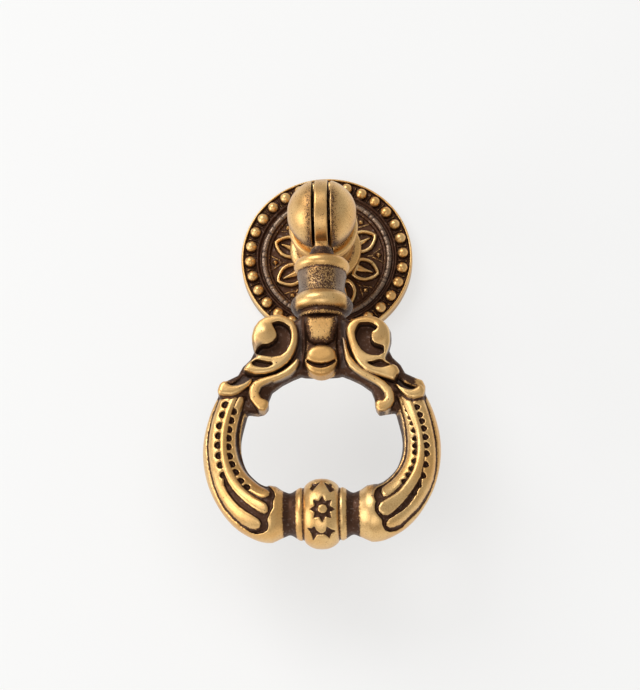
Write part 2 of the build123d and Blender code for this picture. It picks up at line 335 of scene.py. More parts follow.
def plateHeight(x, z):
    look = plateLook
    dish = look["dish"]
    r = np.hypot(x, z)
    turn = np.degrees(np.arctan2(z, x))
    # turned profile: dish, rope ring, valley, bank, channel of the beads, lip
    stops = [(0, dish), (12.5, dish), (12.75, 2.35), (13.0, 2.35), (13.15, 2.2), (13.35, 2.9),
             (13.9, look["rope"]), (14.45, 2.9), (14.65, look["valley"]), (15.0, 2.6), (15.35, look["bank"]),
             (15.55, 3.0), (15.75, look["channel"]), (18.25, look["channel"]), (18.45, 2.9),
             (18.6, look["lip"]), (18.8, look["lip"]), (19.0, 2.9), (30, 2.9)]
    height = np.interp(r, [s[0] for s in stops], [s[1] for s in stops])
    # thin rib between neighbouring beads
    step = 360 / look["beads"]
    fromBead = (turn + look["beadTurn"] - 90 + 720 + step / 2) % step - step / 2
    between = np.radians(step / 2 - np.abs(fromBead)) * r
    inChannel = band(r, 15.6, 16.0, 17.9, 18.15)
    height = height + inChannel * look["ribHeight"] * np.exp(-(between / look["ribWidth"]) ** 2)
    # beads, each a little off in place and size
    k = np.round((turn + look["beadTurn"] - 90) / step)
    centre = np.radians(k * step - look["beadTurn"] + 90)
    circle = look["beadCircle"] + 0.05 * np.sin(k * 12.9898)
    gap = np.hypot(x - circle * np.cos(centre), z - circle * np.sin(centre))
    radius = look["beadRadius"] * (1 + 0.03 * np.sin(k * 78.233))
    swell = np.sqrt(np.clip(1 - (gap / radius) ** 2, 0, 1))
    dome = look["beadFoot"] + (look["beadTop"] - look["beadFoot"]) * swell
    height = np.where(gap < radius, np.maximum(height, dome), height)
    # nicks across the rope ring, unevenly spaced
    onRope = band(r, 13.1, 13.4, 14.4, 14.65)
    for k in range(look["nicks"]):
        place = k * look["nickStep"] + 1.7 * math.sin(k * 2.3)
        away = np.radians((turn - place + 180) % 360 - 180) * r
        depth = 0.16 + 0.14 * math.sin(k * 4.7)
        height = height - depth * np.exp(-(away / look["nickWidth"]) ** 2) * onRope
    # petals with raised rims and a wedge from the root
    u, v = spokeAxes(x, z, turn, 0.0)
    leaf = region(u, v, leafHalf)
    rim = np.clip(1 - (np.abs(leaf + look["rimIn"]) / look["rimHalf"]) ** 2, 0, 1) ** 0.5
    inside = smoothStep(0.05, -0.25, leaf)
    height = height * (1 - inside) + (dish + look["leafRise"]) * inside
    height = np.maximum(height, dish + look["rimHeight"] * rim * (leaf < 0.07))
    wedgeHalf = 0.15 + 1.1 * np.clip((10.9 - u) / 4.0, 0, 1)
    wedge = np.clip(1 - v / wedgeHalf, 0, 1) ** 0.6 * smoothStep(11.2, 10.6, u)
    height = np.maximum(height, dish + look["wedgeHeight"] * wedge * (leaf < -0.4))
    # between the petals a small pyramid, two veins and a low spoke
    u, v = spokeAxes(x, z, turn, 0.5)
    stud = np.clip(1 - np.maximum(np.abs(u - look["studRadius"]) + v, 0) / look["studHalf"], 0, 1)
    height = np.maximum(height, dish + look["studHeight"] * stud)
    veins = np.exp(-((v - 0.35 - 0.62 * (u - 10.2)) / 0.17) ** 2) * band(u, 10.0, 10.4, 12.4, 12.9)
    height = np.maximum(height, dish + look["veinHeight"] * veins)
    spoke = np.exp(-(v / 0.16) ** 2) * band(u, 8.5, 9.0, 10.4, 10.9)
    return np.maximum(height, dish + look["spokeHeight"] * spoke)


plateClay = Clay((-19.6, -4.9, -19.6), (19.6, 0.6, 19.6), 0.125)
picks, x, y, z = plateClay.window((-20, -6, -20), (20, 1, 20))
relief = plateHeight(x[:, 0, :], z[0, :, :])
slope = np.sqrt(1 + sum(g ** 2 for g in np.gradient(relief, plateClay.step)))
radius = np.hypot(x, z)
front = (-y - relief[:, None, :]) / slope[:, None, :]
body = np.where(radius > 17, rounded(front, radius - plateLook["radius"], plateLook["edge"]), front)
plateClay.field = np.maximum(np.maximum(body, y), plateLook["bore"] - radius).astype(np.float32)
plateClay.field = boxBlur(plateClay.field, 1, 1)
plate = meshOf(plateClay, "visual_backplate", 190000)
p, n, fine, broad = surfaceOf(plate, plateClay)
r = np.hypot(p[:, 0], p[:, 2])
high = -p[:, 1]
tone = wornTone(fine, broad, plateWear)
# tops of the beads and the lip, tops in the dish, the valley, then the dish itself
tone = tone + 0.62 * smoothStep(2.95, 3.4, high) * smoothStep(15.5, 15.8, r)
tone = tone + 0.62 * smoothStep(2.25, 2.6, high) * smoothStep(12.7, 12.4, r)
tone = tone - 0.5 * band(r, 14.5, 14.7, 15.6, 15.8)
tone = tone + 0.09 * smoothStep(12.8, 12.4, r)
# side wall and back
tone = np.where((r > 18.85) & (n[:, 1] > -0.6), 0.85, tone)
tone = np.where(high < 0.3, 0.66, tone)
ropeBand = band(r, 13.2, 13.4, 14.4, 14.6)
paint(plate, tone=tone + 0.04 * ropeBand, grey=ropeBand, stain=np.zeros(len(r)))


# Post: turned foot, cove, ring, lip and ball, slotted for the eye

postLook = {"ball": 7.5, "slotHalf": 1.95, "slotFloor": 20.1, "slotFlare": 0.45, "pinBore": 1.25,
            "screwBore": 1.65, "screwDepth": 12.0}
postWear = {"tone": 0.80, "nook": 3.0, "shelter": 1.2, "shelterFrom": 0.03,
            "proud": 0.9, "proudFrom": 0.06, "swell": 0.0}
ballTurns = [math.radians(a) for a in range(86, -18, -4)]
ballArc = [(postLook["ball"] * math.cos(a), pinHeight + postLook["ball"] * math.sin(a)) for a in ballTurns]
postProfile = [(0, 35.5), *ballArc,
               (7.05, 25.4), (6.6, 24.4), (6.0, 23.4), (5.6, 22.8), (5.5, 22.1), (5.6, 21.5), (6.2, 21.3),
               (6.9, 21.45), (7.3, 21.2), (7.5, 20.6), (7.45, 20.15), (7.15, 19.85), (7.3, 19.5),
               (7.4, 19.0), (7.15, 18.55), (6.6, 18.35), (6.2, 18.0), (6.1, 17.0), (6.25, 16.8),
               (6.3, 16.5), (6.15, 16.2), (6.1, 13.6), (6.25, 13.4), (6.25, 13.1), (6.1, 12.9),
               (6.1, 9.7), (6.3, 9.3), (6.9, 9.05), (7.45, 8.9), (7.8, 8.45), (7.9, 7.8), (7.8, 7.15),
               (7.4, 6.7), (6.6, 6.5), (6.2, 6.2), (6.15, 2.0), (3.0, 2.0), (3.0, 0.0), (0, 0.0)]
postClay = Clay((-9.2, -36.4, -9.2), (9.2, 0.6, 9.2), 0.14)
picks, x, y, z = postClay.window((-10, -40, -10), (10, 1, 10))
form = turned(postProfile, np.hypot(x, z), -y)
fromPin = np.hypot(z, -y - pinHeight)
slotWall = np.abs(x) - postLook["slotHalf"] - postLook["slotFlare"] * np.clip(fromPin - 7.0, 0, 0.5)
form = -smoothMin(-form, np.maximum(slotWall, postLook["slotFloor"] + y), 0.12)
form = np.maximum(form, -np.maximum(fromPin - postLook["pinBore"], np.abs(x) - 9))
screwHole = np.maximum(np.hypot(x, z) - postLook["screwBore"], -y - postLook["screwDepth"])
postClay.field = np.maximum(form, -screwHole).astype(np.float32)
postClay.field = boxBlur(postClay.field, 1, 1)
post = meshOf(postClay, "visual_post", 150000)
p, n, fine, broad = surfaceOf(post, postClay)
high, ax = -p[:, 1], np.abs(p[:, 0])
tone = wornTone(fine, broad, postWear)
onBall = smoothStep(22.4, 23.4, high)
besideSlot = smoothStep(4.6, 2.3, ax) * smoothStep(7.0, 1.0, p[:, 2]) * onBall
tone = tone - 0.34 * besideSlot * smoothStep(1.9, 2.3, ax)
tone = np.where(np.abs(n[:, 0]) * (ax < 2.2) > 0.8, 0.1, tone)
# painted shade and grey reflection on the ball's outer rim
rimShade = smoothStep(6.2, 7.3, np.hypot(p[:, 0], p[:, 2])) * smoothStep(31, 27, high) * onBall
grey = 0.5 * rimShade * smoothStep(0.3, 0.0, -n[:, 1])
paint(post, tone=tone - 0.10 * rimShade, grey=grey, stain=besideSlot)


# Pivot pin: plain round pin whose ends show in the ball's cheeks

pinLook = {"radius": 1.24, "half": 7.22, "bevel": 0.2, "tone": 0.55, "grey": 0.5}
pinClay = Clay((-8, -29.8, -1.8), (8, -26.2, 1.8), 0.1)
picks, x, y, z = pinClay.window((-9, -31, -3), (9, -25, 3))
across = np.hypot(y + pinHeight, z) - pinLook["radius"]
pinClay.field = rounded(across, np.abs(x) - pinLook["half"], pinLook["bevel"]).astype(np.float32)
pin = meshOf(pinClay, "visual_pivot_pin", 20000)
even = np.ones(len(pin.data.vertices))
paint(pin, tone=pinLook["tone"] * even, grey=pinLook["grey"] * even, stain=0 * even)


# Drop: turned stem and eye, scrolled yoke, fluted arms and barrel

dropClay = Clay((-25.6, -37.6, -75.4), (25.6, -19.6, 8.2), 0.16)
dropWear = {"tone": 0.84, "nook": 3.0, "shelter": 1.5, "shelterFrom": 0.02,
            "proud": 1.2, "proudFrom": 0.05, "swell": 0.0}
barrelZ = -67.2

# body plate of the yoke
yokeHalf = [(0, -23.9), (4.6, -24.0), (6.0, -25.0), (8.2, -24.6), (11, -24.5), (13.4, -25.4), (14.6, -27.6),
            (14.7, -29.8), (14.2, -31.7), (15.0, -33.4), (16.6, -35.0), (17.6, -36.9), (19.6, -37.9),
            (21.2, -38.5), (21.8, -39.9), (21.6, -41.8), (17.5, -45.0), (13.4, -45.6), (12.0, -45.3),
            (11.2, -44.2), (11.1, -42.4), (10.4, -40.5), (8.3, -38.9), (6.0, -37.7), (4.3, -37.0),
            (3.6, -37.2), (2.0, -37.3), (0, -37.3)]
pad(dropClay, mirrored(yokeHalf), top=2.3, base=-1.6, bevel=1.4)

# arms: a round bar that swells to the cuff, rows of x, z and radius
armRows = [(17.2, -40.6, 3.3), (18.3, -42.6, 3.6), (19.65, -46.1, 3.85), (20.75, -51, 3.95),
           (20.65, -55.5, 4.1), (19.35, -59.9, 4.4), (16.95, -63.5, 4.95), (14.35, -65.8, 5.5),
           (11.45, -67, 5.95), (9.8, -67.15, 5.8), (8.4, -67.2, 5.05), (7.4, -67.2, 4.6),
           (6.7, -67.2, 4.35), (5.8, -67.2, 4.3), (4.8, -67.2, 4.3)]

# what is cut into the arms, seen from the front: the edge of the fluted field, its three ridges and
# the two rows of pits
armMarks = {
    "left": {
        "field": [(21.4, -41.8), (22.1, -44), (23.1, -47.2), (23.7, -50.2), (23.9, -52.9), (23.7, -55.4),
            (23.3, -58.2), (22.4, -61.5), (21.4, -64.1), (20.1, -66.5), (18.3, -68.6), (16.6, -70.2),
            (14.7, -71.5), (13.4, -72), (12, -72), (11, -71.6), (10.8, -70.8), (11, -69.8), (10.5, -68.7),
            (9.8, -67.4), (9.8, -66), (9.4, -64.7), (9.7, -63.5), (10.6, -62.2), (12, -60.3),
            (13.3, -59.4), (14.5, -58.3), (15.7, -56.8), (16.6, -55.3), (17, -53.7), (17.2, -52),
            (17.2, -50.3), (16.9, -48.3), (16.4, -46.1), (15.8, -44.1), (15.2, -42)],
        "outer": [(21.2, -41.8), (21.9, -44.1), (22.9, -47.3), (23.4, -50.3), (23.6, -53), (23.4, -55.5),
            (23, -58.2), (22.2, -61.5), (21.1, -64.1), (19.8, -66.4), (18.1, -68.5), (16.4, -70),
            (14.7, -71), (13.5, -71.3), (12.7, -71.1), (12.4, -70.4), (12.8, -69.7), (13.9, -68.9),
            (15.4, -67.9), (16.9, -66.7), (18.2, -65.2), (19.3, -63.6), (20.1, -61.9), (20.2, -60.4),
            (20.1, -59), (20.5, -57.6), (20.9, -55.4), (21.1, -53.3), (21, -51.1), (20.8, -49),
            (20.3, -46.8), (19.6, -44.6), (18.6, -42.2)],
        "middle": [(18.5, -42), (19.5, -44.3), (20.2, -46.8), (20.7, -49), (20.9, -51.1), (20.9, -53.3),
            (20.8, -55.4), (20.4, -57.6), (19.9, -59.4), (19.2, -61.1), (18.2, -62.8), (16.9, -64.4),
            (15.4, -65.9), (13.9, -67.2), (12.4, -68.2), (11.6, -68.5), (11, -68.2), (11, -67.4),
            (11.4, -66.6), (12.4, -65.9), (13.7, -65), (15, -63.9), (16.3, -62.6), (17.4, -61),
            (18.4, -59), (19.2, -57.2), (19.6, -55.4), (19.8, -53.3), (19.8, -51.5), (19.6, -49.7),
            (19.3, -47.7), (18.8, -45.7), (18.2, -43.9), (17.3, -41.8)],
        "inner": [(17.1, -42), (18, -43.9), (18.6, -45.7), (19.2, -47.7), (19.5, -49.7), (19.7, -51.5),
            (19.7, -53.3), (19.5, -55.4), (19.1, -57.1), (18.3, -58.9), (17.3, -60.9), (16.2, -62.2),
            (14.9, -63.4), (13.6, -64.4), (12.4, -65.1), (11.4, -65.1), (10.7, -64.6), (10.6, -63.7),
            (11.2, -62.9), (12.6, -61.8), (15.2, -59.2), (16.3, -57.7), (17.1, -56), (17.6, -54),
            (17.8, -52.3), (17.8, -50.5), (17.5, -48.5), (17, -46.3), (16.4, -44.3), (15.4, -42.3)],
        "outerPits": [(20, -44.1), (20.5, -46.4), (21.1, -48.8), (21.3, -51), (21.4, -53.1), (21.2, -55.4),
            (20.8, -57.5), (20.2, -59.7), (19.3, -61.7), (18.2, -63.6)],
        "innerPits": [(18.4, -45.6), (18.9, -47.6), (19.3, -49.6), (19.4, -51.5), (19.4, -53.4),
            (19.1, -55.5), (18.6, -57.3), (17.8, -59.1), (16.7, -61.1), (15.4, -62.6)],
        "pitAlong": 0.8,
        "pitAcross": 0.82,
        "pitRound": 2.0,
    },
    "right": {
        "field": [(21.4, -41.8), (22, -44.1), (22.6, -45.9), (23.1, -48), (23.6, -50), (23.9, -52),
            (24, -54.2), (24, -56.3), (23.9, -58.4), (23.4, -60.6), (22.6, -62.8), (21.6, -64.8),
            (20.3, -66.8), (19, -68.3), (16.8, -70.5), (15.5, -71.3), (14, -71.8), (13.1, -71.7),
            (12.6, -71), (12.5, -70), (11.8, -69.3), (11.2, -68.5), (11.1, -67.3), (11.3, -66.4),
            (10.9, -65.1), (11.1, -63.8), (11.7, -62.8), (12.8, -62.1), (13.9, -61.2), (15.2, -59.8),
            (16.3, -58.1), (17.1, -56.3), (17.5, -54.5), (17.6, -52.3), (17.5, -50.1), (17.2, -47.9),
            (16.7, -45.8), (16.2, -44.2), (15.2, -42)],
        "outer": [(21.2, -41.8), (21.8, -44.2), (22.4, -46.2), (22.9, -48.3), (23.3, -50.2), (23.6, -52.2),
            (23.8, -54.3), (23.8, -56.4), (23.6, -58.6), (23.2, -60.6), (22.4, -62.7), (21.3, -64.7),
            (20, -66.7), (18.7, -68.1), (17.4, -69.4), (16.2, -70.4), (14.9, -71), (14, -71.2),
            (13.4, -71), (13.5, -70.4), (14, -69.8), (15.4, -68.9), (16.8, -67.9), (18.1, -66.7),
            (19.1, -65.3), (19.9, -63.7), (20.7, -62.2), (20.9, -60.4), (21.2, -58.4), (21.5, -56),
            (21.4, -54), (21.2, -52.4), (20.9, -50.4), (20.4, -48.3), (19.8, -46.3), (19.2, -44.5),
            (18.6, -42.2)],
        "middle": [(16.3, -42.2), (17.2, -44.3), (18, -46.1), (19, -48.3), (19.6, -50.3), (19.9, -52.1),
            (20, -53.9), (19.9, -55.8), (19.7, -57.3), (19.1, -59.2), (18.3, -60.8), (17.3, -62.4),
            (16.3, -63.8), (15, -64.9), (13.5, -65.9), (12.5, -66.6), (12, -67.5), (12.1, -68.4),
            (12.8, -69), (13.7, -69), (14.5, -68.5), (15.6, -67.5), (16.9, -66.1), (18.3, -64.2),
            (19.5, -62.3), (20.5, -60.4), (21, -58.2), (21.3, -55.9), (21.3, -54), (21, -52.4),
            (20.8, -50.4), (20.3, -48.3), (19.7, -46.3), (19.1, -44.5), (18.4, -42.2)],
        "inner": [(15.4, -42.2), (16.5, -44.5), (17, -46.2), (17.5, -48), (17.8, -50.2), (17.9, -52.4),
            (17.8, -54.6), (17.5, -56.3), (16.8, -58), (15.7, -59.8), (14.5, -61.2), (13.3, -62.2),
            (12.6, -63), (12.5, -64.2), (12.9, -65.1), (13.7, -65.2), (14.8, -64.4), (16, -63.1),
            (17.1, -61.8), (18.1, -60.2), (18.9, -58.8), (19.5, -57.2), (19.8, -55.7), (19.8, -52.1),
            (19.5, -50.3), (18.9, -48.2), (17.8, -46.1), (17, -44.2), (16.2, -42.1)],
        "outerPits": [(19.9, -45.3), (20.5, -47), (20.9, -48.4), (21.3, -50), (21.6, -51.9), (21.8, -53.7),
            (21.8, -55.5), (21.6, -57.9), (21, -60.3), (20.1, -62.3), (19.1, -64)],
        "innerPits": [(17.6, -44.1), (18.2, -45.7), (18.8, -47.4), (19.2, -48.7), (19.5, -50.3),
            (19.7, -52.1), (19.7, -53.7), (19.7, -55.2), (19.5, -57.2), (18.9, -58.9), (18.2, -60.3),
            (17.3, -61.8)],
        "pitAlong": 0.78,
        "pitAcross": 0.85,
        "pitRound": 1.25,
    },
}


def armRelief(x, z, marks):
    # signed distances to the dark grooves, to the pits and to the ridges, x counted outwards
    grown = (("outer", 0.0), ("middle", 0.13), ("inner", 0.0))
    ridges = [region(x, z, marks[name]) - grow for name, grow in grown]
    nearest = np.minimum(np.minimum(ridges[0], ridges[1]), ridges[2])
    grooves = np.maximum(region(x, z, marks["field"]), -nearest)
    pits = np.full(np.broadcast(x, z).shape, farOff)
    power = marks["pitRound"]
    for row in ("outerPits", "innerPits"):
        centres = marks[row]
        for k, (a, b) in enumerate(centres):
            before, after = centres[max(k - 1, 0)], centres[min(k + 1, len(centres) - 1)]
            ex, ez = after[0] - before[0], after[1] - before[1]
            size = math.hypot(ex, ez)
            s = np.abs((x - a) * ex + (z - b) * ez) / size / marks["pitAlong"]
            t = np.abs((x - a) * ez - (z - b) * ex) / size / marks["pitAcross"]
            pits = np.minimum(pits, ((s ** power + t ** power) ** (1 / power) - 1) * 0.8)
    return grooves, np.maximum(pits, -ridges[1]), nearest


armLook = {"ridgeRound": 0.26, "grooveDepth": 0.70, "pitDepth": 0.85}
for side, name in ((1, "right"), (-1, "left")):
    line = curve([(x * side, z, r) for x, z, r in armRows])
    picks, x, depth, z = flatWindow(dropClay, [side * 3.2, side * 25.4], [-74.6, -36.5], cutDepth, -8.0)
    gap, (half,) = along(x, z, line)
    grooves, pits, ridges = armRelief(x * side, z, armMarks[name])
    ridgeEdge = np.clip(1 + ridges / 0.55, 0, 1) ** 2 * (ridges < 0.4) * (grooves < 0.3)
    lowered = armLook["ridgeRound"] * ridgeEdge
    lowered = np.maximum(lowered, armLook["grooveDepth"] * smoothStep(0.10, -0.30, grooves))
    lowered = np.maximum(lowered, armLook["pitDepth"] * smoothStep(0.06, -0.34, pits))
    onFront = smoothStep(0.2, 1.2, depth)
    value = np.hypot(gap[:, None, :], depth) - half[:, None, :] + lowered[:, None, :] * onFront
    dropClay.join(picks, value, 0.35)

print("stage: arms and yoke plate")

# the big scroll with its open comma, slit and bulb, the strip that hooks into the opening, the leaf over
# the arm's root and the hollow beside it
scrollMarks = {
    "left": {
        "scroll": [(13.4, -33.6), (13.9, -32.6), (14.4, -30.8), (14.5, -29.1), (14, -27.2), (13.1, -25.8),
            (11.7, -24.9), (10.1, -24.5), (8.4, -24.5), (7, -25.1), (5.8, -26), (5.1, -27.4), (4.8, -29.1),
            (5, -30.9), (5.6, -32.7), (6.3, -34.1), (7.1, -35.1), (8.3, -36.1), (9.9, -37), (11.8, -37.5),
            (13.9, -37.6), (15.4, -37.3), (16.2, -36.6), (15.5, -35.4), (14.8, -34.8), (13.5, -33.8)],
        "comma": [(10.1, -26.5), (9, -26.2), (7.8, -26.6), (6.9, -27.3), (6.5, -28.5), (6.5, -30),
            (6.8, -31.2), (7.5, -32.6), (8.5, -33.4), (10.1, -33.7), (11.6, -33.5), (12.9, -33.2),
            (13.6, -32.8), (13.1, -32), (12.3, -31.3), (11.1, -31.3), (10, -30.7), (9.2, -29.7),
            (9.1, -28.8), (9.4, -27.9)],
        "slit": [(14.4, -35.1), (13.7, -34.6), (12.7, -34.8), (11.5, -35.1), (10.4, -35.2), (10.3, -35.6),
            (11.1, -36), (12.1, -36.1), (13.2, -35.9), (14.1, -35.6)],
        "strip": [(4.7, -34.5), (4.95, -34.2), (5.5, -34.9), (6.6, -35.95), (7.8, -36.9), (9.3, -37.7),
            (11.1, -38.2), (12.8, -38.7), (14, -39.3), (14.8, -40.4), (15, -41.5), (14.7, -42.9),
            (13.8, -44.2), (12.8, -45.4), (11.9, -45.5), (11.3, -44.7), (11.2, -43.8), (11.7, -43.2),
            (12.4, -43), (13, -42), (13, -41), (12.5, -40.4), (11.4, -39.7), (10, -39.1), (8.3, -38.4),
            (6.6, -37.55), (5.5, -36.5), (4.85, -35.4)],
        "hook": [(12.5, -40.5), (11.4, -39.8), (10.2, -39.2), (10.5, -41), (11.1, -42.8), (11.7, -43),
            (12.5, -42.6), (12.9, -41.6)],
        "leaf": [(14.5, -38.2), (15.2, -38.9), (16.5, -39.5), (17.8, -39.8), (18.8, -39.6), (19.6, -39.1),
            (20.5, -39.1), (21.2, -39.7), (21.6, -41), (21.4, -41.8), (20.4, -42.1), (18.7, -42.2),
            (17.3, -41.7), (16.2, -40.9), (15.2, -40), (14.6, -39.1)],
        "hollow": [(19.2, -39.4), (18.1, -38.9), (17, -37.9), (16.4, -37.2), (15.5, -37.6), (14.6, -37.9),
            (15.3, -38.4), (16.3, -39.2), (17.5, -39.6), (18.5, -39.7)],
        "hookFloor": 2.7,
        "bulb": (11.75, -28.2),
    },
    "right": {
        "scroll": [(13.4, -34), (14, -32.3), (14.4, -30.7), (14.3, -29), (13.8, -27.3), (12.9, -26.1),
            (11.5, -25.3), (9.9, -25), (8.2, -25.2), (6.8, -25.7), (5.8, -26.6), (5.3, -27.7), (5.4, -29),
            (5.9, -30.7), (6.5, -32.8), (7.3, -34.6), (8.2, -35.9), (9.5, -37.1), (10.9, -37.8),
            (12.4, -38.3), (14, -38.9), (15.4, -39.4), (16, -38.5), (16.3, -37.3), (15.8, -36.3),
            (14.9, -35.8), (13.9, -35.3), (13.3, -34.7)],
        "comma": [(8.2, -26.8), (9.9, -26.7), (11, -27.1), (11.6, -27.7), (11.3, -28.2), (10.5, -28.5),
            (10.3, -29.5), (10.5, -30.6), (11.2, -31.4), (13, -32), (13, -33.2), (12.1, -33.7),
            (10.6, -33.6), (9.7, -33.3), (8.7, -32.5), (8, -31.4), (7.5, -30.2), (7.3, -28.7),
            (7.7, -27.6)],
        "slit": [(9.9, -35.5), (11, -35.4), (12.1, -35), (13, -35.1), (13.8, -35.7), (14.8, -35.8),
            (14, -36.1), (12.8, -36.4), (11.6, -36.3), (10.6, -35.9)],
        "strip": [(4.6, -29.6), (4.7, -31.1), (4.9, -32.7), (5.2, -34.3), (5.9, -35.9), (7.1, -37),
            (8.5, -38), (10.2, -39), (11.6, -39.9), (12.6, -40.8), (13.4, -42), (13.5, -43.1),
            (12.9, -43.7), (12.1, -43.7), (11.5, -44.2), (11.6, -45.2), (12.2, -46.1), (13.3, -45.9),
            (14.4, -45.1), (15.1, -43.8), (15.1, -42.4), (14.5, -41), (13.3, -39.7), (11.8, -38.7),
            (10, -37.7), (8.5, -36.7), (7.3, -35.6), (6, -33.9), (5.4, -32.2), (5, -30.3)],
        "hook": [(12.2, -42.8), (12.7, -42.7), (13.1, -43.1), (13, -43.6), (12.6, -43.7), (12.2, -43.3)],
        "leaf": [(15.5, -39.6), (16.2, -40), (17.3, -40.7), (18.5, -41.2), (19.6, -40.9), (20.4, -40.4),
            (21.1, -40.6), (21.6, -41.7), (21.3, -42.7), (20.5, -43.1), (19.4, -43.4), (18.3, -43.2),
            (17.2, -42.3), (16.2, -41.1), (15.6, -40)],
        "hollow": [(15.8, -39.5), (16.1, -38.6), (16.7, -39), (17.3, -39.8), (18.3, -40.3), (19.7, -40.7),
            (19, -41.1), (18.1, -41), (16.9, -40.5)],
        "hookFloor": 3.3,
        "bulb": (11.9, -28.6),
    },
}
bulb = {"radius": 2.65, "depth": 2.5, "soft": 0.5}
for side, name in ((1, "right"), (-1, "left")):
    marks = scrollMarks[name]
    pad(dropClay, marks["scroll"], top=4.6, base=0.4, bevel=0.9, soft=0.2, side=side, grow=0.12)
    picks, x, depth, z = flatWindow(dropClay, [side * 7.5, side * 16.0], [-32.5, -23.5], 6.4, -2.0)
    gap = np.hypot(x - side * marks["bulb"][0], z - marks["bulb"][1])[:, None, :]
    ball = np.hypot(gap, np.maximum(depth - bulb["depth"], 0)) - bulb["radius"]
    dropClay.join(picks, np.maximum(ball, -1.0 - depth), bulb["soft"])
    pad(dropClay, marks["strip"], top=4.25, base=0.4, bevel=0.75, soft=0.15, side=side, grow=0.22)
    pad(dropClay, marks["leaf"], top=4.4, base=0.4, bevel=0.9, soft=0.15, side=side, grow=0.12)
    pocket(dropClay, marks["comma"], floor=2.1, soft=0.25, slant=0.10, side=side)
    pocket(dropClay, marks["slit"], floor=3.1, side=side)
    pocket(dropClay, marks["hook"], floor=marks["hookFloor"], side=side)
    pocket(dropClay, marks["hollow"], floor=1.8, soft=0.4, slant=0.2, side=side)

# middle block: cushion, lower pad with its smile, lobe into the opening
block = mirrored([(4.4, -24.0), (4.5, -34.0), (3.6, -36.6)])
pad(dropClay, block, top=3.0, base=-1.8, bevel=1.2)
cushion = mirrored([(3.1, -24.8), (3.4, -26.2), (3.0, -28.4), (2.45, -30.2), (1.4, -30.9)])
pad(dropClay, cushion, top=4.8, base=1.2, bevel=1.25, tilt=0.1)
roundPad = oval(-33.5, 3.12, 2.25)
pad(dropClay, roundPad, top=4.85, base=1.5, bevel=1.2, soft=0.2)
lobeOutline = oval(-34.75, 3.45, 3.4)
pad(dropClay, lobeOutline, top=4.5, base=-0.3, bevel=1.2, soft=0.4)
smile = mirrored([(0, -35.6), (1.4, -35.4), (2.4, -34.95), (3.0, -34.5), (3.05, -34.95), (2.4, -35.7),
                  (1.3, -36.25), (0, -36.5)])
pocket(dropClay, smile, floor=3.3, soft=0.15, slant=0.05)
blockEdge = [(3.9, -24.6, 0.4, 3.4), (3.8, -28.0, 0.5, 3.1), (3.7, -31.2, 0.6, 3.0),
             (3.95, -33.6, 0.42, 3.1), (4.1, -36.5, 0.4, 2.8)]
for side in (1, -1):
    gouge(dropClay, blockEdge, side=side, deep=1.4)

# turned stem
stemProfile = [(0, -7.2), (1.5, -7.2), (2.1, -7.9), (2.4, -8.8), (2.9, -9.8), (3.4, -10.55), (4.5, -10.8),
               (5.4, -11.15), (5.88, -11.8), (5.97, -12.4), (5.75, -13.05), (5.25, -13.5), (4.95, -13.8),
               (5.3, -14.1), (5.2, -14.8), (4.95, -16.0), (4.88, -17.1), (5.0, -18.1), (5.3, -18.7),
               (5.25, -19.0), (5.75, -19.55), (6.4, -20.25), (6.64, -21.05), (6.5, -21.85), (6.1, -22.45),
               (5.4, -22.95), (4.95, -23.1), (4.9, -23.4), (5.15, -23.7), (5.0, -24.4), (0, -24.6)]
picks, x, y, z = dropClay.window((-8.2, -36.2, -26.2), (8.2, -19.8, -6.0))
dropClay.join(picks, turned(stemProfile, np.hypot(x, y + pinHeight), z), 0.25)

# eye: tab with softened edges, rounded about the pin and bored for it
eyeLook = {"radius": 7.42, "half": 1.45, "bore": 1.32, "neckHalf": 2.1, "edge": 0.3}
picks, x, y, z = dropClay.window((-2.6, -36.4, -10.5), (2.6, -19.6, 8.2))
fromPin = np.hypot(y + pinHeight, z)
neckBlock = np.maximum(np.abs(y + pinHeight) - eyeLook["neckHalf"], np.maximum(z + 6.5, -10.0 - z))
outline = np.minimum(fromPin - eyeLook["radius"], neckBlock)
dropClay.join(picks, rounded(outline, np.abs(x) - eyeLook["half"], eyeLook["edge"]), 0.1)
dropClay.carve(picks, fromPin - eyeLook["bore"], 0.1)

# barrel: turned about x, with star, diamonds and end collars
barrelHalf = [(0, 7.33), (1.2, 7.24), (2.2, 6.88), (2.9, 6.42), (3.4, 5.95), (3.55, 5.55), (3.72, 5.25),
              (3.95, 5.3), (4.1, 5.55), (4.4, 5.55), (4.9, 5.3), (5.3, 5.0), (5.8, 4.65), (6.3, 4.4),
              (6.6, 4.3), (6.6, 0)]
otherEnd = [(r, -x) for x, r in reversed(barrelHalf[1:-1])]
barrelOutline = [(r, x) for x, r in barrelHalf] + [(0, -6.6)] + otherEnd
picks, x, y, z = dropClay.window((-8.4, -37.0, -76), (8.4, -19.0, -58.4))
depth, height = -pinHeight - y, z - barrelZ
barrel = turned(barrelOutline, np.hypot(depth, height), x)
angle = np.degrees(np.arctan2(height, depth))

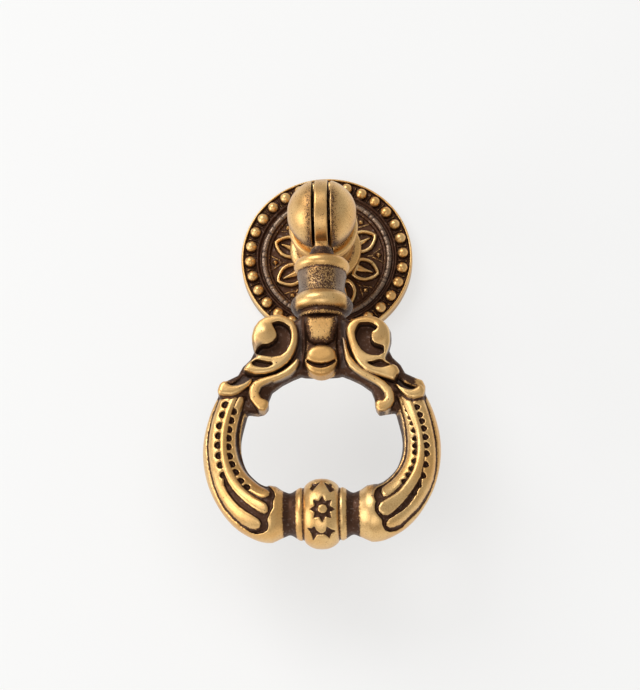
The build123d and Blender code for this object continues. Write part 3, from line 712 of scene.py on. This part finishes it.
# star and diamonds on the barrel: x in mm and the turn about the barrel in degrees from straight ahead,
# degree is the length of one of them on its surface
degree = 7.25 * math.pi / 180
starLook = {"x": 0.37, "turn": -8.2, "tip": 2.75, "notch": 1.8, "wide": 0.94, "high": 8.1, "tips": 8,
            "bossX": 0.39, "bossTurn": -8.3, "bossRadius": 0.95}
star = []
for k in range(2 * starLook["tips"]):
    reach = starLook["tip"] if k % 2 == 0 else starLook["notch"]
    a = math.pi * k / starLook["tips"]
    star.append((starLook["x"] + starLook["wide"] * reach * math.sin(a),
                 (starLook["turn"] + starLook["high"] * reach * math.cos(a)) * degree))
diamonds = [
    [(-2.75, -43.2), (-2.0, -42.8), (-1.27, -37.2), (-0.95, -44.5), (-0.1, -50.6), (-0.9, -55.0),
     (-1.66, -67.5), (-1.95, -54.0)],
    [(1.24, -38.3), (1.9, -43.5), (2.95, -50.7), (2.1, -54.5), (1.71, -62.3), (1.02, -54.6), (0.3, -51.2),
     (0.95, -47.0)],
    [(-1.74, 48.5), (-1.1, 45.2), (-0.2, 47.6), (-0.72, 38.0), (-1.67, 26.0), (-2.3, 34.5), (-1.9, 40.0)],
    [(0.6, 48.0), (1.5, 44.8), (2.21, 48.0), (2.3, 40.5), (2.9, 34.5), (2.43, 29.0), (1.95, 22.5),
     (1.2, 34.4)],
    [(-0.4, -50.4), (0.5, -50.4), (0.5, -52.6), (-0.4, -52.6)],
]


def barrelMarks(u, turn):
    # signed distance to the star and diamonds cut into the barrel, over its unrolled surface
    v = turn * degree
    boss = starLook["bossRadius"] - np.hypot(u - starLook["bossX"], v - starLook["bossTurn"] * degree)
    marks = np.maximum(region(u, v, star), boss)
    for outline in diamonds:
        marks = np.minimum(marks, region(u, v, [(a, b * degree) for a, b in outline]))
    return marks


marks = barrelMarks(*np.broadcast_arrays(x, angle))
barrel = barrel + 0.45 * smoothStep(0.10, -0.22, marks) * (depth > 0)
dropClay.join(picks, barrel, 0.2)

dropClay.field = boxBlur(dropClay.field, 1, 1)
print("stage: drop sculpted")
drop = meshOf(dropClay, "visual_drop", 192000)

# antiquing of the drop: tone is high where the brass is bright; grey is a grey tint on the waist and
# shoulder, and elsewhere a painted grey reflection on sides and walls
p, n, fine, broad = surfaceOf(drop, dropClay)
px, depth, pz = p[:, 0], -pinHeight - p[:, 1], p[:, 2]
ax, facing = np.abs(px), -n[:, 1]
tone = wornTone(fine, broad, dropWear)
onYoke = band(pz, -24.2, -25.0, -45.0, -46.5)
low = smoothStep(3.5, 2.7, depth)
armRoot = smoothStep(16.0, 16.6, ax) * smoothStep(-42.4, -43.2, pz)
onArm = np.maximum(smoothStep(-45.8, -46.4, pz), armRoot) * smoothStep(8.0, 8.6, ax)
underLobe = smoothStep(0.35, 0.15, region(px, pz, lobeOutline))
underLobe = underLobe * smoothStep(-36.3, -36.9, pz) * smoothStep(0.2, 0.9, depth)
behind = smoothStep(-0.35, -0.8, facing)
sunk = onYoke * low * smoothStep(20.5, 19.0, ax) * (1 - onArm) * (1 - underLobe)
tone = tone - 0.60 * sunk * (1 - 0.72 * behind)
# painted grey reflection and a little painted highlight on yoke faces that turn sideways
sideways = smoothStep(0.45, 0.05, facing) * (1 - behind)
grey = 0.8 * onYoke * sideways * (1 - onArm) * smoothStep(3.4, 4.0, ax)
tone = tone + 0.22 * grey

for side, name in ((1, "right"), (-1, "left")):
    # grooves and pits of the arm, and painted shade with grey reflection on the plain metal of its inner
    # side
    mine = (px * side > 8) & (pz < -42.5) & (facing > -0.1)
    out, up = px[mine] * side, pz[mine]
    grooves, pits, ridges = armRelief(out, up, armMarks[name])
    tone[mine] -= 0.75 * np.maximum(smoothStep(0.10, -0.06, grooves), smoothStep(0.04, -0.10, pits))
    innerWallShade = smoothStep(0.12, 0.4, region(out, up, armMarks[name]["field"]))
    withinArms = np.hypot(out / 20.5, (up + 52.5) / 15.0) < 1.0
    innerWallShade = innerWallShade * smoothStep(10.2, 11.2, ax[mine]) * withinArms * onArm[mine]
    tone[mine] -= 0.28 * innerWallShade
    grey[mine] = np.maximum(grey[mine], 0.9 * innerWallShade)
    # recesses of the scrolls, a painted grey sheen in the hollow beside the leaf, and painted shade under
    # the leaf
    marks = scrollMarks[name]
    mine = (px * side > 4) & (px * side < 22) & (pz > -46.5) & (pz < -24) & (facing > -0.1)
    out, up = px[mine] * side, pz[mine]
    for place, darker in (("comma", 0.8), ("slit", 0.7), ("hook", 0.7), ("hollow", 0.10)):
        recess = smoothStep(0.10, -0.10, region(out, up, marks[place]))
        tone[mine] -= darker * recess
    # painted grey sheen in the hollow beside the leaf, the last recess of the loop above
    grey[mine] = np.maximum(grey[mine], 0.9 * recess)
    underLeaf = band(region(out, up, marks["leaf"]), 0.1, 0.2, 0.35, 0.9)
    tone[mine] -= 0.7 * underLeaf * (up < -41.0) * (out > 15.5)

# painted shade with grey reflection on the side of the left scroll under the bulb, and painted silver
# highlights on the sides of the middle block
shadeSide = smoothStep(11.9, 12.9, -px) * band(pz, -30.0, -31.0, -33.4, -33.9) * (depth > 2)
grey = np.maximum(grey, 0.75 * shadeSide)
tone = tone - 0.14 * shadeSide
blockSideHighlight = band(ax, 4.0, 4.3, 4.8, 5.3) * smoothStep(0.0, 1.0, depth) * ((pz < -25.2) & (pz > -36))
grey = np.maximum(grey, 0.9 * blockSideHighlight)
tone = tone + 0.24 * blockSideHighlight

# smile, cushion, top of the round pad, lobe
mine = (ax < 4.6) & (pz > -40) & (pz < -24) & (facing > -0.1)
tone[mine] -= 0.8 * smoothStep(0.08, -0.08, region(px[mine], pz[mine], smile)) + 0.14 * underLobe[mine]
fromCushion = region(px[mine], pz[mine], cushion)
tone[mine] -= (0.13 + 0.40 * smoothStep(-1.5, -0.25, fromCushion)) * (fromCushion < 0.3)
fromPad = region(px[mine], pz[mine], roundPad)
tone[mine] -= 0.30 * smoothStep(-32.6, -31.4, pz[mine]) * (fromPad < 0.2)

# star and diamonds of the barrel
mine = (ax < 4) & (pz < -58) & (depth > 0)
turnAround = np.degrees(np.arctan2(pz[mine] - barrelZ, depth[mine]))
tone[mine] -= 0.8 * smoothStep(0.08, -0.06, barrelMarks(px[mine], turnAround))

# painted shade with grey reflection on the inner sides of the arms, by which way they face
withinArms = np.hypot(px / 17.2, (pz + 52.5) / 13.0) < 1.12
innerSideShade = band(facing, -0.75, -0.35, 0.25, 0.60) * withinArms * onArm
tone = tone - 0.25 * innerSideShade
grey = np.maximum(grey, 0.85 * innerSideShade)

# stem: waist with its paler panel, shoulder, ledge over the yoke, and painted shade with grey reflection at
# the ends of the bell
onWaist = band(pz, -13.6, -14.0, -19.0, -19.3)
panel = smoothStep(3.4, 2.2, ax) * (depth > 0)
grey = np.maximum(grey, onWaist * (1 - 0.85 * panel))
tone = tone - onWaist * (0.20 + 0.17 * panel)
shoulder = band(pz, -8.0, -8.4, -10.6, -10.9)
tone = tone - 0.45 * shoulder
grey = np.maximum(grey, 0.8 * shoulder)
ledge = band(pz, -22.5, -23.0, -24.6, -25.2) * smoothStep(7, 6, ax)
tone = tone - 0.42 * ledge
# painted shade and grey reflection at the bell's left and right ends
bellEndShade = band(pz, -19.0, -19.5, -23.0, -23.4) * smoothStep(5.0, 5.7, ax)
tone = tone - 0.42 * bellEndShade
grey = np.maximum(grey, 0.9 * bellEndShade)

# necks beside the barrel, front and cheeks of the eye
neck = band(ax, 5.0, 5.5, 7.6, 8.2) * (pz < -58)
tone = tone - 0.75 * neck
eyeFront = (ax < 1.6) & (pz > -8) & (depth > 0)
tone = tone - 0.16 * eyeFront * smoothStep(1.3, 0.7, ax)
tone = np.where((np.abs(n[:, 0]) > 0.8) & (ax < 1.6) & (pz > -8), 0.1, tone)
paint(drop, tone=tone, grey=np.clip(grey, 0, 1), stain=0.35 * onYoke + 0.5 * eyeFront)


# Materials: polished brass over dark antiquing, mixed by how proud each place is

brassLook = {
    "polishedWarm": (0.79, 0.455, 0.155), "polishedPale": (0.86, 0.575, 0.25), "amber": (0.50, 0.25, 0.075),
    "stain": (0.33, 0.15, 0.05), "greyTintAndSheen": (0.20, 0.15, 0.125), "greyDark": (0.10, 0.085, 0.08),
    "darkWarm": (0.105, 0.045, 0.022), "darkCool": (0.052, 0.027, 0.018), "fleck": (0.25, 0.175, 0.14),
    "polishedRough": 0.38, "darkRough": 0.5, "coat": 0.22, "coatRough": 0.30,
    "speckScale": 3400, "cloudScale": 420, "broadScale": 110, "fleckScale": 1500, "pitScale": 1050,
    "pitSize": 0.21, "bump": 0.35, "bumpDepth": 0.00006,
}


def nodeIn(tree, kind, **settings):
    node = tree.nodes.new(kind)
    for key, value in settings.items():
        if key.startswith("in_"):
            node.inputs[int(key[3:])].default_value = value
        else:
            setattr(node, key, value)
    return node


def mathIn(tree, operation, a, b, clamp=False):
    node = tree.nodes.new("ShaderNodeMath")
    node.operation, node.use_clamp = operation, clamp
    for socket, value in zip(node.inputs, (a, b)):
        if isinstance(value, (int, float)):
            socket.default_value = value
        else:
            tree.links.new(value, socket)
    return node.outputs[0]


def addIn(tree, value, grain, share):
    # value with a share of the grain, which is counted from its middle
    return mathIn(tree, "ADD", value, mathIn(tree, "MULTIPLY", mathIn(tree, "SUBTRACT", grain, 0.5), share))


def rangeIn(tree, value, low, high, toLow=0.0, toHigh=1.0):
    node = nodeIn(tree, "ShaderNodeMapRange", interpolation_type="SMOOTHSTEP")
    for name, amount in (("From Min", low), ("From Max", high), ("To Min", toLow), ("To Max", toHigh)):
        node.inputs[name].default_value = amount
    tree.links.new(value, node.inputs["Value"])
    return node.outputs["Result"]


def mixIn(tree, share, a, b):
    node = nodeIn(tree, "ShaderNodeMix", data_type="RGBA")
    for socket, value in ((node.inputs[0], share), (node.inputs[6], a), (node.inputs[7], b)):
        if isinstance(value, tuple):
            socket.default_value = (*value, 1.0)
        else:
            tree.links.new(value, socket)
    return node.outputs[2]


def noiseIn(tree, place, scale, detail, rough):
    node = nodeIn(tree, "ShaderNodeTexNoise")
    for name, amount in (("Scale", scale), ("Detail", detail), ("Roughness", rough)):
        node.inputs[name].default_value = amount
    tree.links.new(place, node.inputs["Vector"])
    return node.outputs[0]


def antiqueBrass(name, look, speckle):
    material = bpy.data.materials.new(name)
    material.use_nodes = True
    tree = material.node_tree
    tree.nodes.clear()
    place = nodeIn(tree, "ShaderNodeTexCoord").outputs["Object"]
    tone, grey, stain = [nodeIn(tree, "ShaderNodeAttribute", attribute_name=layer).outputs["Fac"]
                         for layer in ("tone", "grey", "stain")]
    # grain in four sizes, and small casting pits
    speck = noiseIn(tree, place, look["speckScale"], 4, 0.7)
    cloud = noiseIn(tree, place, look["cloudScale"], 4, 0.6)
    broadCloud = noiseIn(tree, place, look["broadScale"], 3, 0.5)
    worn = addIn(tree, addIn(tree, tone, speck, speckle), cloud, 0.30)
    polish = rangeIn(tree, worn, 0.40, 0.62)
    pits = nodeIn(tree, "ShaderNodeTexVoronoi", feature="F1")
    pits.inputs["Scale"].default_value = look["pitScale"]
    tree.links.new(place, pits.inputs["Vector"])
    pitSize = mathIn(tree, "MULTIPLY", rangeIn(tree, cloud, 0.46, 0.70), look["pitSize"])
    pit = mathIn(tree, "LESS_THAN", pits.outputs["Distance"], pitSize)
    unpitted = mathIn(tree, "SUBTRACT", 1.0, mathIn(tree, "MULTIPLY", pit, 0.75))
    polish = mathIn(tree, "MULTIPLY", polish, unpitted, True)
    # polished metal: warm to pale, amber towards its edges, stained, and grey where the grey layer is set,
    # partly a grey tint and partly a painted reflection on side faces
    brass = mixIn(tree, rangeIn(tree, broadCloud, 0.35, 0.65), look["polishedWarm"], look["polishedPale"])
    brass = mixIn(tree, rangeIn(tree, worn, 0.95, 0.55, 0.0, 0.55), brass, look["amber"])
    stained = mathIn(tree, "MULTIPLY", stain, rangeIn(tree, speck, 0.45, 0.6))
    brass = mixIn(tree, mathIn(tree, "MULTIPLY", stained, 0.5), brass, look["stain"])
    brass = mixIn(tree, mathIn(tree, "MULTIPLY", grey, 0.85), brass, look["greyTintAndSheen"])
    # dark antiquing with paler flecks
    dark = mixIn(tree, cloud, look["darkCool"], look["darkWarm"])
    fleck = rangeIn(tree, noiseIn(tree, place, look["fleckScale"], 3, 0.6), 0.55, 0.70, 0.0, 0.55)
    dark = mixIn(tree, fleck, dark, look["fleck"])
    dark = mixIn(tree, mathIn(tree, "MULTIPLY", grey, 0.5), dark, look["greyDark"])
    shader = nodeIn(tree, "ShaderNodeBsdfPrincipled")
    rough = rangeIn(tree, polish, 0.0, 1.0, look["darkRough"], look["polishedRough"])
    shader.inputs["Coat Roughness"].default_value = look["coatRough"]
    # fine grain stands out, pits and dark places lie lower
    bump = nodeIn(tree, "ShaderNodeBump")
    bump.inputs["Strength"].default_value = look["bump"]
    bump.inputs["Distance"].default_value = look["bumpDepth"]
    lower = mathIn(tree, "MULTIPLY", pit, 0.5)
    height = mathIn(tree, "SUBTRACT", mathIn(tree, "MULTIPLY", speck, 0.6), lower)
    height = mathIn(tree, "ADD", height, mathIn(tree, "MULTIPLY", polish, 0.8))
    tree.links.new(height, bump.inputs["Height"])
    joined = {
        "Base Color": mixIn(tree, polish, dark, brass),
        "Metallic": rangeIn(tree, polish, 0.0, 0.6, 0.9, 1.0),
        "Roughness": addIn(tree, rough, cloud, 0.22),
        "Coat Weight": rangeIn(tree, polish, 0.1, 0.9, 0.0, look["coat"]),
        "Normal": bump.outputs["Normal"],
    }
    for socket, value in joined.items():
        tree.links.new(value, shader.inputs[socket])
    output = nodeIn(tree, "ShaderNodeOutputMaterial")
    tree.links.new(shader.outputs[0], output.inputs["Surface"])
    return material


pieces = (
    (plate, "backplate", "rosette_brass", "mounted", 1.2),
    (post, "post", "post_brass", "mounted", 1.5),
    (pin, "pivot_pin", "pin_brass", "mounted", 0.6),
    (drop, "drop", "drop_brass", "drop", 1.5),
)
for obj, node, slotName, body, speckle in pieces:
    obj.data.materials.clear()
    obj.data.materials.append(antiqueBrass(slotName, brassLook, speckle))
    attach(obj, body)
    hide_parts(node)
print("stage: materials")


# Backdrop: the pale wall behind the plate, in metres

wallLook = {"colour": (0.94, 0.94, 0.935), "seen": 0.68, "half": 1.5, "behind": 0.0006, "shade": 0.83,
            "shadeMiddle": (0.0, 0.0006, -0.052), "shadeFrom": 0.008, "shadeTo": 0.046, "nearest": 0.003}


def backdropMaterial(name, look):
    # the wall takes the object's shadow, shows itself a little paler than the lamps alone make it, and
    # carries a soft painted shadow behind the drop's opening
    colour = look["colour"]
    material = bpy.data.materials.new(name)
    material.use_nodes = True
    tree = material.node_tree
    shader = tree.nodes["Principled BSDF"]
    shader.inputs["Base Color"].default_value = (*colour, 1.0)
    shader.inputs["Roughness"].default_value = 0.9
    shader.inputs["Specular IOR Level"].default_value = 0.0
    shown = nodeIn(tree, "ShaderNodeEmission")
    # painted shadow: the shown colour darkens towards the point behind the drop's opening
    away = nodeIn(tree, "ShaderNodeVectorMath", operation="DISTANCE", in_1=look["shadeMiddle"])
    tree.links.new(nodeIn(tree, "ShaderNodeTexCoord").outputs["Object"], away.inputs[0])
    shade = rangeIn(tree, away.outputs["Value"], look["shadeFrom"], look["shadeTo"])
    shaded = tuple(look["shade"] * c for c in colour)
    tree.links.new(mixIn(tree, shade, shaded, colour), shown.inputs["Color"])
    shown.inputs["Strength"].default_value = 1.0
    path = nodeIn(tree, "ShaderNodeLightPath")
    looking = mathIn(tree, "MAXIMUM", path.outputs["Is Camera Ray"], path.outputs["Is Glossy Ray"])
    looking = mathIn(tree, "MAXIMUM", looking, path.outputs["Is Transmission Ray"])
    blend = nodeIn(tree, "ShaderNodeMixShader")
    tree.links.new(mathIn(tree, "MULTIPLY", looking, look["seen"]), blend.inputs[0])
    tree.links.new(shader.outputs[0], blend.inputs[1])
    tree.links.new(shown.outputs[0], blend.inputs[2])
    # clear from behind, and for light that leaves a surface almost touching it
    close = mathIn(tree, "LESS_THAN", path.outputs["Ray Length"], look["nearest"])
    close = mathIn(tree, "MULTIPLY", close, mathIn(tree, "SUBTRACT", 1.0, path.outputs["Is Camera Ray"]))
    passing = mathIn(tree, "MAXIMUM", nodeIn(tree, "ShaderNodeNewGeometry").outputs["Backfacing"], close)
    wall = nodeIn(tree, "ShaderNodeMixShader")
    tree.links.new(passing, wall.inputs[0])
    tree.links.new(blend.outputs[0], wall.inputs[1])
    tree.links.new(nodeIn(tree, "ShaderNodeBsdfTransparent").outputs[0], wall.inputs[2])
    tree.links.new(wall.outputs[0], tree.nodes["Material Output"].inputs["Surface"])
    return material


wallMesh = bpy.data.meshes.new("backdrop")
wallCorners = [(x * wallLook["half"], wallLook["behind"], z * wallLook["half"])
               for x, z in ((-1, -1), (1, -1), (1, 1), (-1, 1))]
wallMesh.from_pydata(wallCorners, [], [(0, 1, 2, 3)])
wallObject = bpy.data.objects.new("backdrop", wallMesh)
bpy.context.scene.collection.objects.link(wallObject)
wallMesh.materials.append(backdropMaterial("backdrop", wallLook))


# Light: a broad key from above, a card on the left, a little from below, even surroundings

lampTarget = Vector((0, -0.02, -0.03))


def areaLight(name, place, size, power):
    light = bpy.data.lights.new(name, "AREA")
    light.shape, light.size, light.energy = "DISK", size, power
    holder = bpy.data.objects.new(name, light)
    holder.location = place
    holder.rotation_euler = (lampTarget - Vector(place)).to_track_quat("-Z", "Y").to_euler()
    bpy.context.scene.collection.objects.link(holder)


areaLight("key", (-0.42, -0.66, 0.44), size=0.60, power=3.9)
areaLight("card", (-0.72, -0.30, -0.26), size=0.60, power=2.4)
areaLight("low", (-0.05, -0.60, -0.62), size=0.50, power=0.9)

surroundings = {"colour": (1.0, 0.99, 0.97, 1.0), "strength": 0.48}
world = bpy.data.worlds.new("surroundings")
bpy.context.scene.world = world
world.use_nodes = True
backLight = world.node_tree.nodes["Background"]
backLight.inputs["Color"].default_value = surroundings["colour"]
backLight.inputs["Strength"].default_value = surroundings["strength"]

bpy.context.scene.view_settings.view_transform = "Standard"

# Camera: below the pull and a little to its right, as in the photo
yaw, pitch, distance = math.radians(2.48), math.radians(20.14), 0.700
focalPixels, pictureHeight, sensorWidth = 3172.1, 690, 36.0
target = Vector((-0.0016, 0.0, -0.01961))
back = Vector((math.sin(yaw) * math.cos(pitch), -math.cos(yaw) * math.cos(pitch), -math.sin(pitch)))
camera = bpy.data.cameras.new("camera")
camera.sensor_fit, camera.sensor_width = "AUTO", sensorWidth
camera.lens = focalPixels * sensorWidth / pictureHeight
holder = bpy.data.objects.new("camera", camera)
facingBack = back.to_track_quat("Z", "Y").to_matrix().to_4x4()
holder.matrix_world = Matrix.Translation(target + back * distance) @ facingBack
bpy.context.scene.collection.objects.link(holder)
bpy.context.scene.camera = holder
